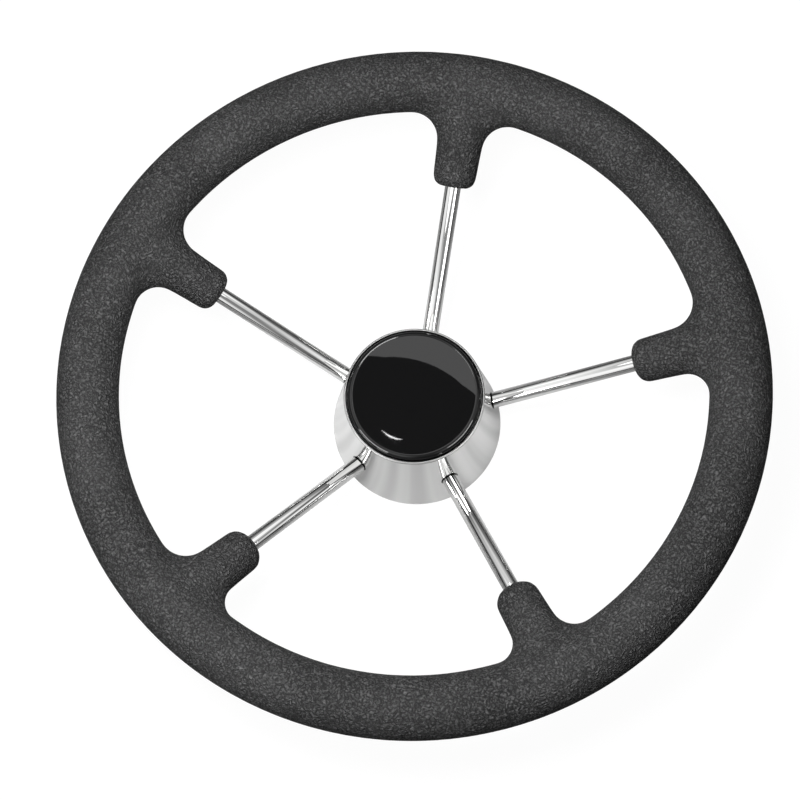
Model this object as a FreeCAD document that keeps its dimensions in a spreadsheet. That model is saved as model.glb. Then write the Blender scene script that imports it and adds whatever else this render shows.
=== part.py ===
"""Five-spoke stainless boat steering wheel with a moulded foam grip.

The wheel lies on the back of its hub. The origin is the centre of the hub's back face, +Z runs along
the shaft's axis towards the driver, and +Y points to the top spoke. All sizes are in millimetres.
"""
import FreeCAD, Part
import math
import os
import Sketcher
from FreeCAD import Placement, Rotation, Vector

# Driving sizes: name, value, and what it measures
SIZES = [
    ("wheel_diameter", 343.0, "over the grip"),
    ("grip_diameter", 30.0, "section of the foam grip"),
    ("rim_height", 73.5, "centre plane of the rim above the hub's back"),
    ("ring_diameter", 14.0, "tube inside the grip"),
    ("ring_wall", 1.5, "wall of that tube"),
    ("foam_gap", 0.05, "foam to the metal that it is moulded round"),
    ("weld_gap", 0.05, "between pieces that are welded together"),
    ("spoke_diameter", 8.0, "round bar"),
    ("spoke_angle", 23.8, "degrees that a spoke rises towards the rim"),
    ("spoke_rise", 1.5, "spoke's centre line above the rim's, where it meets the rim"),
    ("spoke_count", 5.0, "spokes, lugs and holes"),
    ("lug_length", 51.6, "foam lug from the rim's centre, along the spoke"),
    ("lug_end_diameter", 21.5, "lug at its end"),
    ("lug_draft", 2.5, "degrees that the lug's side widens towards the rim"),
    ("lug_corner", 5.5, "rounding of the lug's end"),
    ("lug_fillet", 13.0, "rounding between lug and rim"),
    ("base_diameter", 85.6, "hub shell at its back"),
    ("mouth_diameter", 66.2, "opening at the front of the hub shell"),
    ("shell_height", 50.0, "hub shell from back to lip"),
    ("shell_wall", 1.5, "wall of the hub shell"),
    ("lip_round", 0.7, "rounding of the shell's lip"),
    ("base_round", 0.8, "rounding of the shell's back edge"),
    ("hole_gap", 0.15, "spoke to its hole in the shell"),
    ("plate_thickness", 3.0, "disc that closes the hub's back"),
    ("boss_diameter", 34.0, "boss that holds the shaft"),
    ("boss_height", 36.0, "boss from back to nut seat"),
    ("boss_chamfer", 1.0, "front edge of the boss"),
    ("socket_depth", 3.0, "how deep a spoke stands in the boss"),
    ("shaft_diameter", 19.05, "taper bore at the back, for a 3/4 in shaft"),
    ("taper_ratio", 12.0, "length of bore for 1 mm less diameter"),
    ("taper_length", 30.0, "tapered part of the bore"),
    ("key_width", 6.35, "keyway"),
    ("key_depth", 3.2, "keyway outside the bore's largest radius"),
    ("cap_gap", 0.2, "cap to the shell's lip"),
    ("cap_proud", 2.5, "cap's edge above the lip, before it is rounded"),
    ("cap_dome", 1.0, "rise of the cap's face from that edge"),
    ("cap_round", 3.0, "rounding of the cap's edge"),
    ("cap_wall", 2.5, "thickness of the cap's face"),
    ("skirt_wall", 3.4, "thickness of the cap's skirt"),
    ("seat_drop", 10.0, "from the lip down to the ledge that the cap's skirt stands on"),
    ("ledge_thickness", 2.0, "that ledge"),
    ("ledge_width", 2.5, "how far the ledge reaches in"),
    ("seat_depth", 6.0, "bore of the seat ring above its ledge"),
    ("plug_gap", 0.1, "cap's skirt to the seat ring's bore"),
    ("cap_seat_gap", 0.05, "cap's skirt above its ledge"),
    ("seal_section", 1.8, "O-ring's section"),
    ("seal_gap", 0.1, "O-ring to the seat ring's bore"),
    ("seal_side_gap", 0.2, "O-ring to the sides of its groove"),
]

doc = FreeCAD.newDocument("boat_steering_wheel")
sheet = doc.addObject("Spreadsheet::Sheet", "Sizes")
for row, (alias, number, note) in enumerate(SIZES, start=1):
    sheet.set(f"A{row}", note)
    sheet.set(f"B{row}", str(number))
    sheet.setAlias(f"B{row}", alias)
doc.recompute()

# Lengths worked out from the sheet, as expressions
RIM_RADIUS = "(Sizes.wheel_diameter - Sizes.grip_diameter) / 2"
SPOKE_TOP = "(Sizes.rim_height + Sizes.spoke_rise)"
COS = "cos(Sizes.spoke_angle * 1 deg)"
SIN = "sin(Sizes.spoke_angle * 1 deg)"
BASE_RADIUS = "(Sizes.base_diameter / 2)"
MOUTH_RADIUS = "(Sizes.mouth_diameter / 2)"
BASE_INSIDE = f"({BASE_RADIUS} - Sizes.shell_wall)"
BOSS_RADIUS = "(Sizes.boss_diameter / 2)"
SOCKET_FLOOR = f"({BOSS_RADIUS} - Sizes.socket_depth)"
BORE_BACK = "(Sizes.shaft_diameter / 2)"
BORE_FRONT = f"({BORE_BACK} - Sizes.taper_length / Sizes.taper_ratio / 2)"
CAP_RADIUS = f"({MOUTH_RADIUS} - Sizes.cap_gap)"
SEAT_RADIUS = f"({CAP_RADIUS} + Sizes.plug_gap)"
SEAT_HEIGHT = "(Sizes.shell_height - Sizes.seat_drop)"
SEAL_RADIUS = f"({SEAT_RADIUS} - Sizes.seal_gap - Sizes.seal_section / 2)"
SEAL_HEIGHT = f"({SEAT_HEIGHT} + Sizes.seat_depth / 2)"


def number_of(expression):
    """The value of an expression on the sheet, as a plain number."""
    result = sheet.evalExpression(expression)
    return float(getattr(result, "Value", result))


def along_spoke(radius):
    """Distance down the spoke's centre line, from the rim's radius to another radius."""
    return f"(({RIM_RADIUS} - {radius}) / {COS})"


def on_spoke(along, out):
    """Radius and height of a point along the spoke's centre line and out from it."""
    radius = f"{RIM_RADIUS} - ({along}) * {COS} - ({out}) * {SIN}"
    height = f"{SPOKE_TOP} - ({along}) * {SIN} + ({out}) * {COS}"
    return radius, height


def shell_inside(height):
    """Radius of the hub shell's inner wall at a height."""
    return f"({BASE_INSIDE} - ({BASE_INSIDE} - {MOUTH_RADIUS}) * ({height}) / Sizes.shell_height)"


def origin_feature(body, role):
    """One of the body's own origin planes or axes."""
    return next(item for item in body.Origin.OriginFeatures if item.Role == role)


def new_body(label):
    """An empty body with the sub-part's label."""
    body = doc.addObject("PartDesign::Body", label)
    body.Label = label
    return body


def new_sketch(body, name, role="YZ_Plane"):
    """A sketch on one of the body's origin planes; on YZ its axes are radius and height."""
    sketch = body.newObject("Sketcher::SketchObject", name)
    sketch.AttachmentSupport = (origin_feature(body, role), [""])
    sketch.MapMode = "FlatFace"
    return sketch


def pin_point(sketch, edge, end, corner):
    """Tie a sketch point to a pair of expressions, or to an axis where one is zero."""
    for kind, axis, expression in (("DistanceX", -2, corner[0]), ("DistanceY", -1, corner[1])):
        if expression == "0":
            sketch.addConstraint(Sketcher.Constraint("PointOnObject", edge, end, axis))
            continue
        index = sketch.addConstraint(Sketcher.Constraint(kind, -1, 1, edge, end, number_of(expression)))
        sketch.setExpression(f"Constraints[{index}]", expression)


def bulged(start, finish, radius):
    """Arc from start to finish that turns clockwise with a radius."""
    chord = finish - start
    sagitta = radius - math.sqrt(radius ** 2 - (chord.Length / 2) ** 2)
    side = Vector(-chord.y, chord.x, 0).normalize()
    return Part.Arc(start, (start + finish) * 0.5 + side * sagitta, finish)


def draw_outline(sketch, corners, arcs=None):
    """Closed outline through corners; arcs maps an edge's number to its radius expression."""
    arcs = arcs or {}
    points = [Vector(number_of(across), number_of(up), 0) for across, up in corners]
    count = len(points)
    ends = []
    for edge, start in enumerate(points):
        finish = points[(edge + 1) % count]
        if edge in arcs:
            curve = bulged(start, finish, number_of(arcs[edge]))
            sketch.addGeometry(curve, False)
            ends.append((2, 1))
        else:
            sketch.addGeometry(Part.LineSegment(start, finish), False)
            ends.append((1, 2))
    for edge in range(count):
        after = (edge + 1) % count
        sketch.addConstraint(Sketcher.Constraint("Coincident", edge, ends[edge][1], after, ends[after][0]))
    for edge, corner in enumerate(corners):
        pin_point(sketch, edge, ends[edge][0], corner)
    for edge, expression in arcs.items():
        index = sketch.addConstraint(Sketcher.Constraint("Radius", edge, number_of(expression)))
        sketch.setExpression(f"Constraints[{index}]", expression)


def draw_circle(sketch, centre, radius):
    """Circle whose centre and radius are expressions."""
    middle = Vector(number_of(centre[0]), number_of(centre[1]), 0)
    sketch.addGeometry(Part.Circle(middle, Vector(0, 0, 1), number_of(radius)), False)
    pin_point(sketch, 0, 3, centre)
    index = sketch.addConstraint(Sketcher.Constraint("Radius", 0, number_of(radius)))
    sketch.setExpression(f"Constraints[{index}]", radius)


def draw_spoke_line(sketch):
    """Construction line on the spoke's centre line, for turning a profile about it."""
    start, finish = on_spoke("0", "0"), on_spoke("Sizes.lug_length", "0")
    ends = [Vector(number_of(across), number_of(up), 0) for across, up in (start, finish)]
    line = sketch.addGeometry(Part.LineSegment(*ends), True)
    pin_point(sketch, line, 1, start)
    pin_point(sketch, line, 2, finish)


def spoke_profile(sketch, first, last, first_radius, last_radius):
    """Half section of a round about the spoke's centre line, between two distances along it."""
    draw_outline(sketch, [on_spoke(first, "0"), on_spoke(first, first_radius),
                          on_spoke(last, last_radius), on_spoke(last, "0")])
    draw_spoke_line(sketch)


def turn(body, sketch, kind="PartDesign::Revolution", about_spoke=False):
    """Turn a sketch a whole turn about the shaft's axis or the spoke's centre line."""
    feature = body.newObject(kind, sketch.Name + "_turned")
    feature.Profile = sketch
    if about_spoke:
        feature.ReferenceAxis = (sketch, ["Axis0"])
    else:
        feature.ReferenceAxis = (origin_feature(body, "Z_Axis"), [""])
    feature.Angle = 360.0
    doc.recompute()
    return feature


def repeat_round(body, feature):
    """Repeat a feature once for each spoke, about the shaft's axis."""
    pattern = body.newObject("PartDesign::PolarPattern", feature.Name + "_pattern")
    pattern.Originals = [feature]
    pattern.Axis = (origin_feature(body, "Z_Axis"), [""])
    pattern.Angle = 360.0
    pattern.setExpression("Occurrences", "Sizes.spoke_count")
    body.Tip = pattern
    doc.recompute()
    return pattern


def dress(body, kind, edges, amount, size):
    """Fillet or chamfer the edges of the body's tip that a test picks."""
    base = body.Tip
    names = [f"Edge{index}" for index, edge in enumerate(base.Shape.Edges, start=1)
             if not edge.Degenerated and edges(base.Shape, edge)]
    if not names:
        raise RuntimeError(f"no edge to dress on {body.Label}")
    feature = body.newObject(kind, f"{body.Label}_{size}")
    feature.Base = (base, names)
    feature.setExpression(amount, f"Sizes.{size}")
    doc.recompute()
    return feature


def circle_at(radius, height):
    """Test that picks the level circle of a radius at a height."""
    wanted = (number_of(radius), number_of(height))

    def is_picked(shape, edge):
        curve = edge.Curve
        if curve.TypeId != "Part::GeomCircle":
            return False
        return math.isclose(curve.Radius, wanted[0], abs_tol=0.01) and \
            math.isclose(curve.Center.z, wanted[1], abs_tol=0.01) and abs(curve.Axis.z) > 0.99
    return is_picked


def is_lug_root(shape, edge):
    """Whether an edge is the winding line where a lug's cone enters the round rim."""
    kinds = {face.Surface.TypeId for face in shape.ancestorsOfType(edge, Part.Face)}
    winding = edge.Curve.TypeId != "Part::GeomCircle"
    return winding and kinds == {"Part::GeomToroid", "Part::GeomCone"}


def must_cut(body, before):
    """Stop if a cut left the body as it was."""
    if not body.Shape.Volume < before - 0.01:
        raise RuntimeError(f"a cut in {body.Label} removed nothing")


def cut_round_spokes(body, name, first, last, radius):
    """Round holes along every spoke's centre line, between two distances along it."""
    before = body.Shape.Volume
    sketch = new_sketch(body, name)
    spoke_profile(sketch, first, last, radius, radius)
    groove = turn(body, sketch, "PartDesign::Groove", about_spoke=True)
    must_cut(body, before)
    return repeat_round(body, groove)


# Grip: one foam moulding round the rim's tube and the outer ends of the spokes
def build_grip():
    """Round grip with a tapered lug along each spoke, and channels for the metal inside it."""
    body = new_body("grip")
    rim = new_sketch(body, "grip_section")
    draw_circle(rim, (RIM_RADIUS, "Sizes.rim_height"), "Sizes.grip_diameter / 2")
    turn(body, rim)
    lug = new_sketch(body, "lug_profile")
    flat = "(Sizes.lug_end_diameter / 2 - Sizes.lug_corner)"
    shoulder = "(Sizes.lug_length - Sizes.lug_corner * (1 - sin(Sizes.lug_draft * 1 deg)))"
    side = f"({flat} + Sizes.lug_corner * cos(Sizes.lug_draft * 1 deg))"
    root = f"({side} + {shoulder} * tan(Sizes.lug_draft * 1 deg))"
    draw_outline(lug, [on_spoke("Sizes.lug_length", "0"), on_spoke("Sizes.lug_length", flat),
                       on_spoke(shoulder, side), on_spoke("0", root), on_spoke("0", "0")],
                 {1: "Sizes.lug_corner"})
    draw_spoke_line(lug)
    repeat_round(body, turn(body, lug, about_spoke=True))
    dress(body, "PartDesign::Fillet", is_lug_root, "Radius", "lug_fillet")
    cut_round_spokes(body, "spoke_channel", "0", "Sizes.lug_length + Sizes.lug_corner",
                     "Sizes.spoke_diameter / 2 + Sizes.foam_gap")
    before = body.Shape.Volume
    channel = new_sketch(body, "ring_channel")
    draw_circle(channel, (RIM_RADIUS, "Sizes.rim_height"), "Sizes.ring_diameter / 2 + Sizes.foam_gap")
    turn(body, channel, "PartDesign::Groove")
    must_cut(body, before)
    return body


# Rim tube: bent round and welded to itself
def build_rim_tube():
    """Steel tube that carries the grip."""
    outer = doc.addObject("Part::Torus", "rim_tube_outside")
    inner = doc.addObject("Part::Torus", "rim_tube_inside")
    outer.setExpression("Radius2", "Sizes.ring_diameter / 2")
    inner.setExpression("Radius2", "Sizes.ring_diameter / 2 - Sizes.ring_wall")
    for torus in (outer, inner):
        torus.setExpression("Radius1", RIM_RADIUS)
        torus.setExpression("Placement.Base.z", "Sizes.rim_height")
    tube = doc.addObject("Part::Cut", "rim_tube")
    tube.Base = outer
    tube.Tool = inner
    tube.Label = "rim_tube"
    return tube


# Spokes: round bars, coped to the rim's tube and let into the boss
def build_spokes():
    """One bar for each spoke, the first at the top and the rest counter-clockwise."""
    coping = doc.addObject("Part::Torus", "coping_tool")
    coping.setExpression("Radius1", RIM_RADIUS)
    coping.setExpression("Radius2", "Sizes.ring_diameter / 2 + Sizes.weld_gap")
    coping.setExpression("Placement.Base.z", "Sizes.rim_height")
    count = round(number_of("Sizes.spoke_count"))
    spokes = []
    for index in range(count):
        turned = f"(90 + 360 / Sizes.spoke_count * {index}) * 1 deg"
        bar = doc.addObject("Part::Cylinder", f"spoke_bar_{index + 1}")
        bar.setExpression("Radius", "Sizes.spoke_diameter / 2")
        bar.setExpression("Height", along_spoke(SOCKET_FLOOR))
        azimuth = math.radians(90 + 360 / count * index)
        angle = math.radians(number_of("Sizes.spoke_angle"))
        inward = Vector(-math.cos(angle) * math.cos(azimuth), -math.cos(angle) * math.sin(azimuth),
                        -math.sin(angle))
        bar.Placement = Placement(Vector(), Rotation(Vector(0, 0, 1), inward))
        bar.setExpression("Placement.Base.x", f"{RIM_RADIUS} * cos({turned})")
        bar.setExpression("Placement.Base.y", f"{RIM_RADIUS} * sin({turned})")
        bar.setExpression("Placement.Base.z", SPOKE_TOP)
        spoke = doc.addObject("Part::Cut", f"spoke_{index + 1}")
        spoke.Base = bar
        spoke.Tool = coping
        spoke.Label = f"spoke_{index + 1}"
        spokes.append(spoke)
    return spokes


# Hub shell: spun cone, open at the front, with a round hole for each spoke
def build_hub_shell():
    """Polished cone with a rounded lip."""
    body = new_body("hub_shell")
    wall = new_sketch(body, "shell_wall_profile")
    draw_outline(wall, [(BASE_INSIDE, "0"), (BASE_RADIUS, "0"),
                        (f"{MOUTH_RADIUS} + Sizes.shell_wall", "Sizes.shell_height"),
                        (MOUTH_RADIUS, "Sizes.shell_height")])
    turn(body, wall)
    outside = circle_at(f"{MOUTH_RADIUS} + Sizes.shell_wall", "Sizes.shell_height")
    inside = circle_at(MOUTH_RADIUS, "Sizes.shell_height")

    def is_lip(shape, edge):
        return outside(shape, edge) or inside(shape, edge)
    dress(body, "PartDesign::Fillet", is_lip, "Radius", "lip_round")
    dress(body, "PartDesign::Fillet", circle_at(BASE_RADIUS, "0"), "Radius", "base_round")
    cut_round_spokes(body, "spoke_holes", along_spoke(BASE_RADIUS), along_spoke(BOSS_RADIUS),
                     "Sizes.spoke_diameter / 2 + Sizes.hole_gap")
    return body


# Back plate: flat disc between the shell's foot and the boss
def build_back_plate():
    """Disc with a coned edge that follows the shell's inner wall."""
    body = new_body("back_plate")
    disc = new_sketch(body, "plate_profile")
    draw_outline(disc, [(f"{BOSS_RADIUS} + Sizes.weld_gap", "0"), (f"{shell_inside('0')} - Sizes.weld_gap", "0"),
                        (f"{shell_inside('Sizes.plate_thickness')} - Sizes.weld_gap", "Sizes.plate_thickness"),
                        (f"{BOSS_RADIUS} + Sizes.weld_gap", "Sizes.plate_thickness")])
    turn(body, disc)
    return body


# Hub boss: turned, with a taper bore, a keyway and a socket for each spoke
def build_hub_boss():
    """Boss that drives the shaft; its front face is the nut's seat."""
    body = new_body("hub_boss")
    barrel = new_sketch(body, "boss_profile")
    draw_outline(barrel, [(BORE_BACK, "0"), (BOSS_RADIUS, "0"), (BOSS_RADIUS, "Sizes.boss_height"),
                          (BORE_FRONT, "Sizes.boss_height"), (BORE_FRONT, "Sizes.taper_length")])
    turn(body, barrel)
    dress(body, "PartDesign::Chamfer", circle_at(BOSS_RADIUS, "Sizes.boss_height"), "Size", "boss_chamfer")
    cut_round_spokes(body, "spoke_sockets", along_spoke(BASE_RADIUS),
                     f"{along_spoke(SOCKET_FLOOR)} + Sizes.weld_gap", "Sizes.spoke_diameter / 2 + Sizes.weld_gap")
    before = body.Shape.Volume
    slot = new_sketch(body, "keyway_outline", "XY_Plane")
    reach = f"-({BORE_BACK} + Sizes.key_depth)"
    draw_outline(slot, [("-Sizes.key_width / 2", "0"), ("-Sizes.key_width / 2", reach),
                        ("Sizes.key_width / 2", reach), ("Sizes.key_width / 2", "0")])
    keyway = body.newObject("PartDesign::Pocket", "keyway")
    keyway.Profile = slot
    keyway.Type = "Length"
    keyway.setExpression("Length", "Sizes.boss_height")
    keyway.Reversed = True
    doc.recompute()
    must_cut(body, before)
    return body


# Seat ring: welded inside the shell's mouth, so that the cap has a bore and a stop
def build_seat_ring():
    """Ring with a ledge, coned outside like the shell's inner wall."""
    body = new_body("cap_seat_ring")
    low = f"({SEAT_HEIGHT} - Sizes.ledge_thickness)"
    high = f"({SEAT_HEIGHT} + Sizes.seat_depth)"
    section = new_sketch(body, "seat_ring_profile")
    draw_outline(section, [(f"{SEAT_RADIUS} - Sizes.ledge_width", low),
                           (f"{shell_inside(low)} - Sizes.weld_gap", low),
                           (f"{shell_inside(high)} - Sizes.weld_gap", high),
                           (SEAT_RADIUS, high), (SEAT_RADIUS, SEAT_HEIGHT),
                           (f"{SEAT_RADIUS} - Sizes.ledge_width", SEAT_HEIGHT)])
    turn(body, section)
    return body


# Centre cap: moulded cover that pushes into the seat ring
def build_centre_cap():
    """Domed cap with a rounded edge and a grooved skirt."""
    body = new_body("centre_cap")
    edge = "(Sizes.shell_height + Sizes.cap_proud)"
    crown = f"({edge} + Sizes.cap_dome)"
    under = f"({edge} - Sizes.cap_wall)"
    foot = f"({SEAT_HEIGHT} + Sizes.cap_seat_gap)"
    skirt_inside = f"({CAP_RADIUS} - Sizes.skirt_wall)"
    groove_floor = f"({SEAL_RADIUS} - Sizes.seal_section / 2 - Sizes.plug_gap)"
    groove_high = f"({SEAL_HEIGHT} + Sizes.seal_section / 2 + Sizes.seal_side_gap)"
    groove_low = f"({SEAL_HEIGHT} - Sizes.seal_section / 2 - Sizes.seal_side_gap)"
    section = new_sketch(body, "cap_profile")
    corners = [("0", crown), (CAP_RADIUS, edge), (CAP_RADIUS, groove_high),
               (groove_floor, groove_high), (groove_floor, groove_low), (CAP_RADIUS, groove_low),
               (CAP_RADIUS, foot), (skirt_inside, foot), (skirt_inside, under), ("0", under)]
    dome = f"({CAP_RADIUS} ^ 2 + Sizes.cap_dome ^ 2) / (2 * Sizes.cap_dome)"
    draw_outline(section, corners, {0: dome})
    turn(body, section)
    dress(body, "PartDesign::Fillet", circle_at(CAP_RADIUS, edge), "Radius", "cap_round")
    return body


# O-ring: round seal in the cap's groove
def build_cap_seal():
    """Rubber ring that holds the cap in its seat."""
    ring = doc.addObject("Part::Torus", "cap_o_ring")
    ring.Label = "cap_o_ring"
    ring.setExpression("Radius1", SEAL_RADIUS)
    ring.setExpression("Radius2", "Sizes.seal_section / 2")
    ring.setExpression("Placement.Base.z", SEAL_HEIGHT)
    return ring


pieces = [build_grip(), build_rim_tube(), *build_spokes(), build_hub_shell(), build_back_plate(),
          build_hub_boss(), build_seat_ring(), build_centre_cap(), build_cap_seal()]
doc.recompute()

# Every object must have been made, and every sub-part must be a sound solid
for item in doc.Objects:
    if {"Invalid", "Error"} & set(item.State):
        raise RuntimeError(f"{item.Label} failed: {item.State}")
for piece in pieces:
    if piece.Shape.isNull() or not piece.Shape.isValid() or len(piece.Shape.Solids) != 1:
        raise RuntimeError(f"{piece.Label} isn't one sound solid")

os.makedirs("parts", exist_ok=True)
for piece in pieces:
    piece.Shape.exportStep(f"parts/{piece.Label}.step")
    box = piece.Shape.BoundBox
    print(f"{piece.Label}: {piece.Shape.Volume / 1000:.1f} cm3, "
          f"x {box.XMin:.1f}..{box.XMax:.1f}, y {box.YMin:.1f}..{box.YMax:.1f}, z {box.ZMin:.1f}..{box.ZMax:.1f}")
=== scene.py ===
"""Looks of a five-spoke stainless boat steering wheel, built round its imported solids."""
import logging
import math
from dataclasses import dataclass
from enum import Enum
from typing import Union

import bpy
from mathutils import Matrix, Vector


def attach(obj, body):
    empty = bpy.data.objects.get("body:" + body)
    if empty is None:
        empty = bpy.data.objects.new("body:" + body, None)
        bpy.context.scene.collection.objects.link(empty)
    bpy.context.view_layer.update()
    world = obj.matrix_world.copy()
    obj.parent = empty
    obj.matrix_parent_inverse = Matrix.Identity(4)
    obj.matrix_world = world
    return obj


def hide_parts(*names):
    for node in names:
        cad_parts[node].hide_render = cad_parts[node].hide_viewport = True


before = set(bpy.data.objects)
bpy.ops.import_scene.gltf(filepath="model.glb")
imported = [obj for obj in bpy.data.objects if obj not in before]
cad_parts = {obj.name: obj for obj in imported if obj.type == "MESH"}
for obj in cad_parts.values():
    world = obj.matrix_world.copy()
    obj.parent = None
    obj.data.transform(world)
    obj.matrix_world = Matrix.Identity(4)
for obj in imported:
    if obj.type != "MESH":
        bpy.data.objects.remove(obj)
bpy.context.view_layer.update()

LOG = logging.getLogger("boat_steering_wheel")
MM = 0.001
IMAGE_SIDE_PX = 800
SENSOR_MM = 36.0
Number = Union[float, "Value"]
Colour = tuple[float, float, float]
Ramp = tuple[float, float, float, float]


class Slot(Enum):
    """The record's material slots."""

    FOAM = "foam"
    SPOKE = "spoke_steel"
    SHELL = "shell_steel"
    RING = "ring_steel"
    BOSS = "boss_steel"
    CAP = "cap_plastic"
    SEAL = "seal_rubber"


class Value:
    """A number that a shader socket gives, with Python's operators as Math nodes."""

    def __init__(self, net: "Net", socket: bpy.types.NodeSocket) -> None:
        """Wrap one output socket of a net's tree."""
        self.net = net
        self.socket = socket

    def __add__(self, other: Number) -> "Value":
        """Sum."""
        return self.net.maths("ADD", self, other)

    def __sub__(self, other: Number) -> "Value":
        """Difference."""
        return self.net.maths("SUBTRACT", self, other)

    def __rsub__(self, other: Number) -> "Value":
        """Reflected difference."""
        return self.net.maths("SUBTRACT", other, self)

    def __mul__(self, other: Number) -> "Value":
        """Product."""
        return self.net.maths("MULTIPLY", self, other)

    __radd__ = __add__
    __rmul__ = __mul__

    def larger(self, other: Number) -> "Value":
        """The larger of two numbers."""
        return self.net.maths("MAXIMUM", self, other)

    def size(self) -> "Value":
        """The number without its sign."""
        return self.net.maths("ABSOLUTE", self)

    def mapped(self, low: float, high: float, to_low: float, to_high: float) -> "Value":
        """A range of this number, clamped and carried to another range.

        Args:
            low: Number that becomes to_low.
            high: Number that becomes to_high.
            to_low: Result at low.
            to_high: Result at high.

        Returns:
            The mapped number.
        """
        inputs = {"Value": self, "From Min": low, "From Max": high, "To Min": to_low, "To Max": to_high}
        return self.net.node("ShaderNodeMapRange", {"interpolation_type": "SMOOTHSTEP"}, inputs)


class Net:
    """The node tree of one material or world."""

    def __init__(self, owner: Union[bpy.types.Material, bpy.types.World]) -> None:
        """Clear the owner's tree and keep it."""
        owner.use_nodes = True
        self.tree = owner.node_tree
        self.tree.nodes.clear()

    def node(self, kind: str, settings: dict[str, object], inputs: dict[object, object],
             output: Union[int, str] = 0) -> Value:
        """Add a node, set it up and wrap one of its outputs.

        Args:
            kind: The node's type name.
            settings: Properties of the node, set before its sockets.
            inputs: Socket name or number to a value, a colour or a wrapped link.
            output: Name or number of the output that is wrapped.

        Returns:
            The wrapped output.
        """
        added = self.tree.nodes.new(kind)
        for key, setting in settings.items():
            setattr(added, key, setting)
        for key, given in inputs.items():
            socket = added.inputs[key]
            if isinstance(given, Value):
                self.tree.links.new(given.socket, socket)
            else:
                socket.default_value = given
        return Value(self, added.outputs[output])

    def place(self) -> Value:
        """Position in the part's own frame, in metres."""
        return self.node("ShaderNodeTexCoord", {}, {}, "Object")

    def noise(self, where: Value, scale: float, detail: float = 2.0) -> Value:
        """Soft noise from 0 to 1."""
        return self.node("ShaderNodeTexNoise", {}, {"Vector": where, "Scale": scale, "Detail": detail})

    def blend(self, factor: Number, first: Colour, second: Colour) -> Value:
        """Colour between two, by a factor."""
        inputs = {0: factor, 6: (*first, 1.0), 7: (*second, 1.0)}
        return self.node("ShaderNodeMix", {"data_type": "RGBA"}, inputs, 2)

    def bump(self, height: Value, depth: float) -> Value:
        """Normal that a height field of a real depth bends."""
        return self.node("ShaderNodeBump", {}, {"Height": height, "Distance": depth, "Strength": 1.0})

    def maths(self, operation: str, *inputs: Number) -> Value:
        """Result of one Math node."""
        return self.node("ShaderNodeMath", {"operation": operation}, dict(enumerate(inputs)))

    def along(self, place: Value, axis: str) -> Value:
        """One coordinate of a place."""
        return self.node("ShaderNodeSeparateXYZ", {}, {0: place}, axis)

    def length(self, offset: Value) -> Value:
        """Length of a vector."""
        return self.node("ShaderNodeVectorMath", {"operation": "LENGTH"}, {0: offset}, "Value")

    def off_axis(self, place: Value) -> Value:
        """Distance of a place from the shaft's axis."""
        flat = {0: place, 1: (1.0, 1.0, 0.0)}
        return self.length(self.node("ShaderNodeVectorMath", {"operation": "MULTIPLY"}, flat, "Vector"))

    def matt(self, grey: float) -> Value:
        """Plain matt shader of one grey."""
        return self.node("ShaderNodeBsdfDiffuse", {}, {"Color": (grey, grey, grey, 1.0)})

    def background(self, strength: float) -> Value:
        """Plain white world shader of one strength."""
        return self.node("ShaderNodeBackground", {}, {"Color": (1.0, 1.0, 1.0, 1.0), "Strength": strength})

    def choose(self, factor: Number, first: Value, second: Value) -> Value:
        """Mix of two shaders."""
        return self.node("ShaderNodeMixShader", {}, {0: factor, 1: first, 2: second})

    def surface(self, inputs: dict[str, object]) -> None:
        """Finish with one principled surface."""
        shader = self.node("ShaderNodeBsdfPrincipled", {}, inputs)
        self.node_out("ShaderNodeOutputMaterial", shader)

    def node_out(self, kind: str, shader: Value) -> None:
        """Link a shader to an output node."""
        target = self.tree.nodes.new(kind)
        self.tree.links.new(shader.socket, target.inputs["Surface"])


@dataclass(frozen=True)
class Finish:
    """A surface finish, made into one material."""

    title: str

    def material(self) -> bpy.types.Material:
        """The finish's material, made once.

        Returns:
            The material.
        """
        known = bpy.data.materials.get(self.title)
        if known:
            return known
        made = bpy.data.materials.new(self.title)
        self.paint(Net(made))
        return made

    def paint(self, net: Net) -> None:
        """Fill the material's tree, in each finish's own way."""
        raise NotImplementedError


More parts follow.
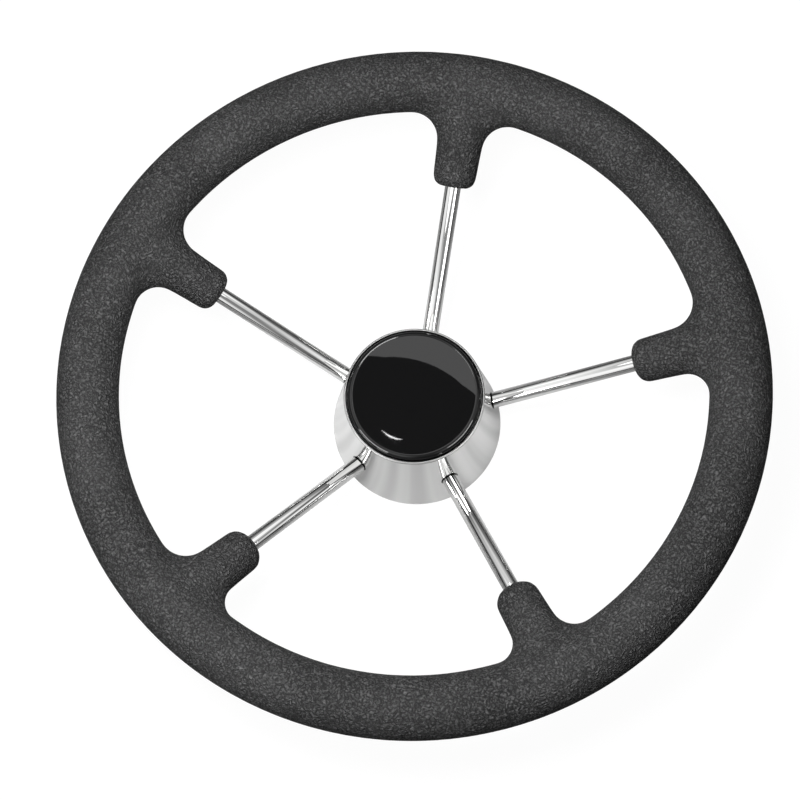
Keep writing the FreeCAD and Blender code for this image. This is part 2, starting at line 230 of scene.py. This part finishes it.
@dataclass(frozen=True)
class FoamSkin(Finish):
    """Self-skinned foam with a fine wrinkled leather grain, its creases darkened with painted shade."""

    # dark end of the grain's colour, painted shade in the creases; the next colour is the lighter ridges, mixed with
    # a slow random tone
    colour: Colour = (0.008, 0.008, 0.0081)
    lit_ridge_tone: Colour = (0.15, 0.15, 0.151)
    wrinkles_per_m: float = 540.0
    unevenness_per_m: float = 30.0
    grain_depth: float = 0.68 * MM
    winding: float = 1.6 * MM
    crease: float = 0.3
    fold: float = 0.5
    roughness: float = 0.55
    gloss: float = 0.03

    def paint(self, net: Net) -> None:
        """Winding wrinkles and pebbles, with a slow unevenness; the colour is painted shade in the creases, plus a
        random tone.

        Args:
            net: The material's empty tree.
        """
        place = net.place()
        warp = net.node("ShaderNodeTexNoise", {}, {"Vector": place, "Scale": self.wrinkles_per_m * 0.45}, "Color")
        shifted = net.node("ShaderNodeVectorMath", {"operation": "MULTIPLY_ADD"},
                           {0: warp, 1: (self.winding,) * 3, 2: place}, "Vector")
        cells = net.node("ShaderNodeTexVoronoi", {"feature": "DISTANCE_TO_EDGE"},
                         {"Vector": shifted, "Scale": self.wrinkles_per_m}, "Distance")
        pebble = cells.mapped(0.0, self.crease, 0.0, 1.0)
        wave = net.noise(shifted, self.wrinkles_per_m * 1.1)
        wrinkle = (wave * 2.0 - 1.0).size().mapped(0.0, self.fold, 0.0, 1.0)
        broad = net.noise(place, self.wrinkles_per_m * 0.2)
        slow = net.noise(place, self.unevenness_per_m)
        normal = net.bump(pebble * 0.25 + wrinkle * 0.75 + broad * 0.6, self.grain_depth)
        # painted shade: darkest along the wrinkles and at the pebbles' edges, where the bump's valleys lie, lighter
        # on the ridges, with a slow random tone mixed in
        colour = net.blend(pebble * 0.2 + wrinkle * 0.6 + slow * 0.2, self.colour, self.lit_ridge_tone)
        rough = slow.mapped(0.3, 0.7, self.roughness - 0.05, self.roughness + 0.06)
        net.surface({"Base Color": colour, "Roughness": rough, "Normal": normal, "Specular IOR Level": self.gloss})


@dataclass(frozen=True)
class PolishedSteel(Finish):
    """Mirror-polished stainless steel, with painted shadow lines in its joints and round the cap, and a satin lip
    darkened with painted shade.
    """

    colour: Colour = (0.79, 0.79, 0.785)
    # colour of the painted shade in the joints, round the cap and on the lip
    shadow: Colour = (0.015, 0.015, 0.015)
    roughness: float = 0.03
    haze_per_m: float = 55.0
    line_near: float = 0.3 * MM
    line_far: float = 0.7 * MM
    gap_radius: float = 33.6 * MM
    gap_height: float = 48.5 * MM
    lip_radius: float = 36.0 * MM
    lip_height: float = 49.5 * MM
    lip_top: float = 50.2 * MM
    lip_edge: float = 0.3 * MM
    lip_shade: float = 0.45
    lip_roughness: float = 0.42

    def paint(self, net: Net) -> None:
        """Mirror with wipe marks, painted shadow lines at the spokes and round the cap, and a satin lip darkened
        with painted shade.

        Args:
            net: The material's empty tree.
        """
        place = net.place()
        haze = net.noise(place, self.haze_per_m, 4.0)
        height = net.along(place, "Z")
        radius = net.off_axis(place)
        polish = haze.mapped(0.25, 0.75, self.roughness - 0.02, self.roughness + 0.05)
        satin = height.mapped(self.lip_height, self.lip_height + self.lip_edge, 0.0, self.lip_roughness) \
            * height.mapped(self.lip_top, self.lip_top + 0.1 * MM, 1.0, 0.0)
        # painted shadow: a dark line in the shadow colour where each spoke's round enters the shell's cone
        line = self.off_joint(net, place).mapped(self.line_near, self.line_far, 1.0, 0.0)
        # painted shade in the gap round the cap: steel within 33.6 mm of the axis and above 48.5 mm is darkened
        # towards the shadow colour
        gap = radius.mapped(self.gap_radius, self.gap_radius + 0.4 * MM, 1.0, 0.0) \
            * height.mapped(self.gap_height, self.gap_height + 0.5 * MM, 0.0, 1.0)
        # painted shade: the top of the shell's lip, within 36 mm of the axis, is darkened partway towards the shadow
        # colour
        lip = height.mapped(self.lip_height - self.lip_edge, self.lip_height, 0.0, self.lip_shade) \
            * radius.mapped(self.lip_radius, self.lip_radius + 1.0 * MM, 1.0, 0.0)
        tint = net.blend(line.larger(gap).larger(lip), self.colour, self.shadow)
        net.surface({"Base Color": tint, "Metallic": 1.0, "Roughness": polish + satin})

    def off_joint(self, net: Net, place: Value) -> Value:
        """Distance from the lines where the spokes' rounds enter the shell's cone.

        Args:
            net: The material's tree.
            place: Position in the part's frame.

        Returns:
            The distance, in metres.
        """
        height = net.along(place, "Z")
        radius = net.off_axis(place)
        half_turn = math.pi / Spokes.count
        turned = net.maths("ARCTAN2", net.along(place, "Y"), net.along(place, "X")) - math.pi / 2
        aside = net.maths("WRAP", turned, half_turn, -half_turn)
        side = radius * net.maths("SINE", aside)
        out = radius * net.maths("COSINE", aside)
        slope = math.radians(Spokes.slope_deg)
        drop = (height - Spokes.start_height + (Spokes.rim_radius - out) * math.tan(slope)) * math.cos(slope)
        off_spoke = net.length(net.node("ShaderNodeCombineXYZ", {}, {0: side, 1: drop}, "Vector")) - Spokes.radius
        cone = math.atan2(Hub.base_radius - Hub.mouth_radius, Hub.height)
        off_cone = (radius - Hub.base_radius) * math.cos(cone) + height * math.sin(cone)
        return off_spoke.larger(0.0) + off_cone.size()


@dataclass(frozen=True)
class TurnedSteel(Finish):
    """Plain stainless steel with the fine rings that a lathe leaves."""

    colour: Colour = (0.56, 0.56, 0.555)
    roughness: float = 0.3
    ring_scale: float = 400.0
    ring_depth: float = 0.02 * MM
    haze_per_m: float = 90.0

    def paint(self, net: Net) -> None:
        """Rings about the shaft's axis as bump and as a change of roughness.

        Args:
            net: The material's empty tree.
        """
        place = net.place()
        rings = net.node("ShaderNodeTexWave", {"wave_type": "RINGS", "rings_direction": "Z"},
                         {"Vector": place, "Scale": self.ring_scale, "Distortion": 0.4}, "Fac")
        haze = net.noise(place, self.haze_per_m, 3.0)
        normal = net.bump(rings, self.ring_depth)
        rough = (rings * 0.08 + haze * 0.1) + (self.roughness - 0.08)
        net.surface({"Base Color": (*self.colour, 1.0), "Metallic": 1.0, "Roughness": rough, "Normal": normal})


@dataclass(frozen=True)
class GlossCap(Finish):
    """Glossy black moulded plastic."""

    colour: Colour = (0.006, 0.006, 0.0062)
    roughness: float = 0.01
    peel_per_m: float = 260.0
    peel_depth: float = 0.0008 * MM
    gloss: float = 0.5

    def paint(self, net: Net) -> None:
        """Deep black with a faint orange peel.

        Args:
            net: The material's empty tree.
        """
        peel = net.noise(net.place(), self.peel_per_m, 1.0)
        normal = net.bump(peel, self.peel_depth)
        rough = peel.mapped(0.3, 0.7, self.roughness, self.roughness + 0.01)
        net.surface({"Base Color": (*self.colour, 1.0), "Roughness": rough, "Normal": normal,
                     "Specular IOR Level": self.gloss})


@dataclass(frozen=True)
class SealRubber(Finish):
    """Smooth black rubber."""

    colour: Colour = (0.02, 0.02, 0.02)
    bloomed: Colour = (0.035, 0.035, 0.035)
    bloom_per_m: float = 300.0

    def paint(self, net: Net) -> None:
        """Black with a soft bloom.

        Args:
            net: The material's empty tree.
        """
        bloom = net.noise(net.place(), self.bloom_per_m, 3.0)
        net.surface({"Base Color": net.blend(bloom, self.colour, self.bloomed),
                     "Roughness": bloom.mapped(0.3, 0.7, 0.45, 0.6)})


def wear(thing: bpy.types.Object, finish: Finish) -> None:
    """Give an object one finish all over."""
    thing.data.materials.clear()
    thing.data.materials.append(finish.material())


def pick(thing: bpy.types.Object) -> None:
    """Make an object the only selected one, and the active one.

    Args:
        thing: The object.
    """
    bpy.ops.object.select_all(action="DESELECT")
    thing.select_set(True)
    bpy.context.view_layer.objects.active = thing


def finish_with(thing: bpy.types.Object, kind: str, settings: dict[str, object]) -> None:
    """Add one modifier to the picked object and apply it.

    Args:
        thing: The picked object.
        kind: The modifier's type.
        settings: Its properties.
    """
    modifier = thing.modifiers.new(kind.lower(), kind)
    for key, setting in settings.items():
        setattr(modifier, key, setting)
    bpy.ops.object.modifier_apply(modifier=modifier.name)


@dataclass
class Grip:
    """The foam moulding, as a soft skin with blind holes for the spokes."""

    finish: FoamSkin = FoamSkin("foam_skin")
    rim_radius: float = 156.5 * MM
    rim_height: float = 73.5 * MM
    tube_channel: float = 7.3 * MM
    merge_distance: float = 0.001 * MM
    cell: float = 1.35 * MM
    evening: float = 0.5
    evening_rounds: int = 5

    def build(self) -> bpy.types.Object:
        """Take the solid's outside, close its inner channel and even out its faces.

        Returns:
            The finished skin.
        """
        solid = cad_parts["grip"]
        skin = bpy.data.objects.new("grip_skin", solid.data.copy())
        bpy.context.scene.collection.objects.link(skin)
        pick(skin)
        bpy.ops.object.mode_set(mode="EDIT")
        bpy.ops.mesh.select_all(action="SELECT")
        bpy.ops.mesh.remove_doubles(threshold=self.merge_distance)
        bpy.ops.mesh.select_mode(type="FACE")
        bpy.ops.mesh.select_all(action="DESELECT")
        bpy.ops.object.mode_set(mode="OBJECT")
        for face in skin.data.polygons:
            face.select = all(self.in_channel(skin.data.vertices[index].co) for index in face.vertices)
        bpy.ops.object.mode_set(mode="EDIT")
        bpy.ops.mesh.delete(type="FACE")
        bpy.ops.mesh.select_all(action="SELECT")
        bpy.ops.mesh.fill_holes(sides=0)
        bpy.ops.mesh.normals_make_consistent(inside=False)
        bpy.ops.object.mode_set(mode="OBJECT")
        finish_with(skin, "REMESH", {"mode": "VOXEL", "voxel_size": self.cell, "use_smooth_shade": True})
        finish_with(skin, "SMOOTH", {"factor": self.evening, "iterations": self.evening_rounds})
        return skin

    def in_channel(self, point: Vector) -> bool:
        """Whether a point lies on the channel for the rim's tube."""
        across = math.hypot(point.x, point.y) - self.rim_radius
        return math.hypot(across, point.z - self.rim_height) < self.tube_channel

    def dress(self) -> None:
        """Build the skin, give it its grain and put it in the solid's place."""
        skin = self.build()
        wear(skin, self.finish)
        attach(skin, "wheel")
        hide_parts("grip")
        LOG.info("grip skin: %d faces", len(skin.data.polygons))


@dataclass
class Spokes:
    """Five round bars that slope from the grip down to the boss."""

    finish: PolishedSteel = PolishedSteel("spoke_polish", lip_shade=0.0, lip_roughness=0.0)
    count: int = 5
    radius: float = 4.0 * MM
    slope_deg: float = 23.8
    rim_radius: float = 156.5 * MM
    start_height: float = 75.0 * MM
    start: float = 8.6 * MM
    end: float = 155.7 * MM
    chamfer: float = 0.5 * MM
    sides: int = 96
    smooth_deg: float = 30.0

    def build(self, index: int) -> bpy.types.Object:
        """Make one bar with chamfered ends.

        Args:
            index: Which spoke, counted counter-clockwise from the top one.

        Returns:
            The bar, with its place in its mesh.
        """
        azimuth = math.radians(90.0 + 360.0 / self.count * index)
        slope = math.radians(self.slope_deg)
        inward = Vector((-math.cos(slope) * math.cos(azimuth), -math.cos(slope) * math.sin(azimuth),
                         -math.sin(slope)))
        outer = Vector((self.rim_radius * math.cos(azimuth), self.rim_radius * math.sin(azimuth), self.start_height))
        middle = outer + inward * (self.start + self.end) / 2
        bpy.ops.object.select_all(action="DESELECT")
        bpy.ops.mesh.primitive_cylinder_add(vertices=self.sides, radius=self.radius, depth=self.end - self.start,
                                            end_fill_type="NGON", location=middle,
                                            rotation=inward.to_track_quat("Z", "Y").to_euler())
        bar = bpy.context.object
        bar.name = f"spoke_bar_{index + 1}"
        bpy.ops.object.transform_apply(location=True, rotation=True, scale=True)
        bpy.ops.object.mode_set(mode="EDIT")
        bpy.ops.mesh.select_mode(type="FACE")
        bpy.ops.mesh.select_all(action="DESELECT")
        bpy.ops.object.mode_set(mode="OBJECT")
        for face in bar.data.polygons:
            face.select = len(face.vertices) == self.sides
        bpy.ops.object.mode_set(mode="EDIT")
        bpy.ops.mesh.bevel(offset=self.chamfer, segments=2, affect="EDGES")
        bpy.ops.mesh.select_all(action="SELECT")
        bpy.ops.mesh.normals_make_consistent(inside=False)
        bpy.ops.object.mode_set(mode="OBJECT")
        bpy.ops.object.shade_smooth_by_angle(angle=math.radians(self.smooth_deg))
        return bar

    def dress(self) -> None:
        """Build the bars, polish them and put them in the solids' places."""
        for index in range(self.count):
            bar = self.build(index)
            wear(bar, self.finish)
            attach(bar, "wheel")
            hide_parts(f"spoke_{index + 1}")
            LOG.info("%s: %d faces", bar.name, len(bar.data.polygons))


@dataclass
class Hub:
    """The hub's steel pieces and the tube inside the grip."""

    polished: PolishedSteel = PolishedSteel("shell_polish")
    turned: TurnedSteel = TurnedSteel("turned_steel")
    base_radius: float = 42.8 * MM
    mouth_radius: float = 34.6 * MM
    height: float = 50.0 * MM

    def dress(self) -> None:
        """Polish the shell and leave the rest as turned."""
        wear(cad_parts["hub_shell"], self.polished)
        for name in ("rim_tube", "hub_boss", "back_plate", "cap_seat_ring"):
            wear(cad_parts[name], self.turned)
        LOG.info("hub dressed")


@dataclass
class CentreCap:
    """The push-fit cap and its O-ring."""

    plastic: GlossCap = GlossCap("gloss_cap")
    rubber: SealRubber = SealRubber("seal_rubber")

    def dress(self) -> None:
        """Gloss the cap and blacken its ring."""
        wear(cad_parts["centre_cap"], self.plastic)
        wear(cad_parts["cap_o_ring"], self.rubber)
        LOG.info("cap dressed")


@dataclass(frozen=True)
class PhotoCamera:
    """The photograph's camera, as the wheel's axis and centre stand in its view."""

    focal_px: float = 2166.4
    distance: float = 1.038
    aside: float = 0.00606
    above: float = 0.00873
    tilt_deg: float = 16.51
    lean_deg: float = 97.26
    top_spoke_deg: float = 252.60
    rim_height: float = 0.0735

    def pose(self) -> Matrix:
        """The camera's place and turn in the part's frame.

        Returns:
            The camera's world matrix.
        """
        tilt, lean = math.radians(self.tilt_deg), math.radians(self.lean_deg)
        axis = Vector((math.sin(tilt) * math.cos(lean), math.sin(tilt) * math.sin(lean), math.cos(tilt)))
        first = Vector((0.0, 0.0, 1.0)).cross(axis).normalized()
        second = axis.cross(first)
        spoke = math.radians(self.top_spoke_deg)
        up = first * math.cos(spoke) + second * math.sin(spoke)
        right = up.cross(axis)
        turn = Matrix((right, up, axis))
        centre = Vector((self.aside, self.above, -self.distance))
        place = Vector((0.0, 0.0, self.rim_height)) - turn @ centre
        return Matrix.Translation(place) @ turn.to_4x4()

    def make(self) -> bpy.types.Object:
        """Add the camera and make it the scene's own.

        Returns:
            The camera.
        """
        data = bpy.data.cameras.new("photo_camera")
        data.sensor_width = SENSOR_MM
        data.lens = SENSOR_MM * self.focal_px / IMAGE_SIDE_PX
        camera = bpy.data.objects.new("photo_camera", data)
        camera.matrix_world = self.pose()
        bpy.context.scene.collection.objects.link(camera)
        bpy.context.scene.camera = camera
        return camera


@dataclass(frozen=True)
class Card:
    """A flat card that only mirrors see, facing the wheel."""

    title: str
    glow: float
    azimuth_deg: float
    height_deg: float
    wide_deg: float
    tall_deg: float
    away: float = 2.2
    columns: int = 16
    rows: int = 8

    def build(self) -> None:
        """Add the card as a patch of a dome about the wheel."""
        bpy.ops.object.select_all(action="DESELECT")
        bpy.ops.mesh.primitive_grid_add(x_subdivisions=self.columns, y_subdivisions=self.rows, size=1.0)
        card = bpy.context.object
        card.name = self.title
        for vertex in card.data.vertices:
            azimuth = math.radians(self.azimuth_deg + self.wide_deg * vertex.co.x)
            height = math.radians(self.height_deg + self.tall_deg * vertex.co.y)
            level = self.away * math.cos(height)
            vertex.co = (level * math.cos(azimuth), level * math.sin(azimuth), self.away * math.sin(height))
        show_to_mirrors(card, self.glow)


@dataclass(frozen=True)
class Disc:
    """A round card overhead that only mirrors see."""

    title: str
    radius: float
    height: float
    glow: float
    centre: tuple[float, float] = (-0.183, 0.159)
    sides: int = 128

    def build(self) -> None:
        """Add the disc at its height."""
        bpy.ops.object.select_all(action="DESELECT")
        bpy.ops.mesh.primitive_circle_add(vertices=self.sides, radius=self.radius, fill_type="NGON",
                                          location=(*self.centre, self.height))
        disc = bpy.context.object
        disc.name = self.title
        show_to_mirrors(disc, self.glow)


@dataclass(frozen=True)
class Glint:
    """A thin bright arc overhead, which the cap mirrors as a curved glint."""

    points: tuple[tuple[float, float], ...] = ((-0.212, 0.250), (-0.169, 0.229), (-0.128, 0.226))
    height: float = 1.498
    width: float = 4.5 * MM
    tip: float = 0.5 * MM
    glow: float = 24.0
    columns: int = 12

    def build(self) -> None:
        """Bend a grid along the curve through the three points."""
        first, middle, last = (Vector(point) for point in self.points)
        bpy.ops.object.select_all(action="DESELECT")
        bpy.ops.mesh.primitive_grid_add(x_subdivisions=self.columns, y_subdivisions=1, size=1.0)
        strip = bpy.context.object
        strip.name = "glint_strip"
        for vertex in strip.data.vertices:
            along = vertex.co.x + 0.5
            line = first * (1 - along) * (1 - 2 * along) + middle * 4 * along * (1 - along) \
                + last * along * (2 * along - 1)
            thin = self.width * (1.0 - (2 * along - 1) ** 2) + self.tip
            vertex.co = (line.x, line.y + thin * vertex.co.y, self.height)
        show_to_mirrors(strip, self.glow)


@dataclass(frozen=True)
class Patch:
    """A soft round patch of light on the studio's walls, which only mirrors see."""

    azimuth_deg: float
    height_deg: float
    reach_deg: float
    glow: float

    def seen(self, net: Net, facing: Value) -> Value:
        """The patch's light in a direction, with a soft edge.

        Args:
            net: The world's tree.
            facing: The direction.

        Returns:
            The light, where 1 is white.
        """
        azimuth, height = math.radians(self.azimuth_deg), math.radians(self.height_deg)
        middle = (math.cos(height) * math.cos(azimuth), math.cos(height) * math.sin(azimuth), math.sin(height))
        near = net.node("ShaderNodeVectorMath", {"operation": "DOT_PRODUCT"}, {0: facing, 1: middle}, "Value")
        return near.mapped(math.cos(math.radians(self.reach_deg)), 1.0, 0.0, self.glow)


@dataclass(frozen=True)
class Lamp:
    """A soft square lamp turned to the wheel, hidden from view and from mirrors."""

    title: str
    place: tuple[float, float, float]
    power: float
    side: float

    def build(self) -> None:
        """Add the lamp at its place."""
        data = bpy.data.lights.new(self.title, "AREA")
        data.energy = self.power
        data.size = self.side
        lamp = bpy.data.objects.new(self.title, data)
        lamp.location = self.place
        lamp.visible_camera = False
        lamp.visible_glossy = False
        lamp.rotation_euler = (-Vector(self.place)).to_track_quat("-Z", "Y").to_euler()
        bpy.context.scene.collection.objects.link(lamp)


def show_to_mirrors(card: bpy.types.Object, glow: float) -> None:
    """Make a studio object glow in mirrors alone.

    Args:
        card: The object.
        glow: Its brightness, where 1 is white.
    """
    material = bpy.data.materials.new(card.name)
    net = Net(material)
    net.node_out("ShaderNodeOutputMaterial", net.node("ShaderNodeEmission", {}, {"Strength": glow}))
    card.data.materials.append(material)
    card.visible_camera = False
    card.visible_diffuse = False
    card.visible_shadow = False
    card.visible_transmission = False


@dataclass
class Studio:
    """Plain pale floor, white surroundings, soft lamps and a dim room with bright cards for the mirrors."""

    floor_side: float = 6.0
    floor_drop: float = 0.2 * MM
    floor_grey: float = 0.12
    shown_paper: tuple[float, float] = (0.06, 0.97)
    pool_paper: tuple[float, float] = (0.55, 0.45)
    pool_streaks: Ramp = (0.35, 0.65, 0.86, 1.08)
    pool_left: Ramp = (-0.07, -0.01, 0.26, 0.0)
    pool_right: Ramp = (0.02, 0.08, 0.0, 0.12)
    pool_fall: Ramp = (0.06, 0.15, 0.5, 0.2)
    pool_side_fall: Ramp = (0.07, 0.13, 1.0, 0.4)
    air_light: float = 0.02
    wall_light: float = 0.138
    wall_top: float = 1.6
    patches: tuple[Patch, ...] = (
        Patch(-161.0, 35.0, 31.0, 0.93), Patch(-111.0, 36.0, 30.0, 1.0), Patch(166.0, 42.0, 17.0, 0.53),
        Patch(-92.0, 6.0, 22.0, 0.56), Patch(-25.0, 30.0, 32.0, 0.99), Patch(16.0, 13.0, 21.0, 1.08),
        Patch(18.0, 57.0, 27.0, 0.61), Patch(61.0, 48.0, 22.0, 1.04), Patch(90.0, 38.0, 20.0, 0.39),
        Patch(125.0, 40.0, 22.0, 0.66), Patch(158.0, 32.0, 19.0, 0.52), Patch(-86.0, 57.0, 37.0, 0.14),
    )
    furniture: tuple[Union[Disc, Glint, Card, Lamp], ...] = (
        Disc("light_ring", 0.75, 1.502, 1.62),
        Disc("dark_opening", 0.404, 1.5, 0.0),
        Glint(),
        Card("near_box", 12.0, -19.0, 36.0, 42.0, 11.0),
        Card("far_box", 14.0, 126.0, 49.5, 28.0, 11.0),
        Card("right_box", 6.0, 68.0, 55.0, 24.0, 7.0),
        Card("low_left_box", 11.0, -132.0, 16.0, 40.0, 32.0),
        Lamp("top_lamp", (-0.1, -0.06, 0.75), 7.4, 0.25),
        Lamp("left_lamp", (-0.42, -0.72, 0.45), 0.7, 0.3),
    )

    def build(self) -> None:
        """Make the world, the floor, the cards and the lamps."""
        self.world()
        self.floor()
        for item in self.furniture:
            item.build()
        bpy.context.scene.view_settings.view_transform = "Standard"
        LOG.info("studio built")

    def rays(self, net: Net) -> tuple[Value, Value, Value]:
        """1 on camera rays, on mirror rays and on rays through glass.

        Args:
            net: The tree that asks.

        Returns:
            The three values, in that order.
        """
        path = net.node("ShaderNodeLightPath", {}, {}, "Is Camera Ray")
        outputs = path.socket.node.outputs
        return path, Value(net, outputs["Is Glossy Ray"]), Value(net, outputs["Is Transmission Ray"])

    def world(self) -> None:
        """White where it is seen, a dim grey as light, and a dark room with soft patches in mirrors."""
        world = bpy.data.worlds.new("studio_air")
        bpy.context.scene.world = world
        net = Net(world)
        camera, mirror, glass = self.rays(net)
        shown = net.background(1.0)
        light = net.background(self.air_light)
        dark = net.background(0.0)
        lit = net.background(self.wall_top)
        facing = net.place()
        glow = sum((patch.seen(net, facing) for patch in self.patches), self.wall_light)
        walls = net.choose(glow * (1.0 / self.wall_top), dark, lit)
        unseen = net.choose(mirror, light, walls)
        net.node_out("ShaderNodeOutputWorld", net.choose(camera.larger(glass), unseen, shown))

    def paper(self, net: Net, grey: float, glow: float) -> Value:
        """Matt paper that glows a little.

        Args:
            net: The material's tree.
            grey: The paper's own grey.
            glow: The light it adds.

        Returns:
            The paper's shader.
        """
        light = net.node("ShaderNodeEmission", {}, {"Strength": glow})
        return net.node("ShaderNodeAddShader", {}, {0: net.matt(grey), 1: light})

    def pool(self, net: Net) -> Value:
        """The floor as the steel mirrors it: a painted pool of light under the hub, lighter towards the sides and
        broken by painted streaks, that falls off outwards.

        Args:
            net: The material's tree.

        Returns:
            The pool's shader.
        """
        place = net.place()
        reach = net.length(place)
        across = net.along(place, "X")
        outward = net.node("ShaderNodeVectorMath", {"operation": "NORMALIZE"}, {0: place}, "Vector")
        # painted streaks of light and shade running outwards from the hub
        streaks = net.noise(outward, 3.2).mapped(*self.pool_streaks)
        # painted light: the pool is brighter towards the left, and less so towards the right
        side = across.mapped(*self.pool_left) + across.mapped(*self.pool_right)
        # painted pool of light: brightest near the hub, falling off outwards
        level = reach.mapped(*self.pool_fall) + side * reach.mapped(*self.pool_side_fall)
        return net.choose(level * streaks, net.matt(0.0), self.paper(net, *self.pool_paper))

    def floor(self) -> None:
        """Pale floor that keeps a soft shadow, clearer in mirrors, where it also shows a painted pool of light."""
        bpy.ops.object.select_all(action="DESELECT")
        bpy.ops.mesh.primitive_plane_add(size=self.floor_side, location=(0.0, 0.0, -self.floor_drop))
        plane = bpy.context.object
        plane.name = "floor"
        material = bpy.data.materials.new("pale_floor")
        net = Net(material)
        camera, mirror, glass = self.rays(net)
        unseen = net.choose(mirror, net.matt(self.floor_grey), self.pool(net))
        shown = self.paper(net, *self.shown_paper)
        net.node_out("ShaderNodeOutputMaterial", net.choose(camera.larger(glass), unseen, shown))
        plane.data.materials.append(material)


def main() -> None:
    """Dress the wheel, then build the studio and the camera."""
    logging.basicConfig(level=logging.INFO)
    Grip().dress()
    Spokes().dress()
    Hub().dress()
    CentreCap().dress()
    Studio().build()
    PhotoCamera().make()


if __name__ == "__main__":
    main()
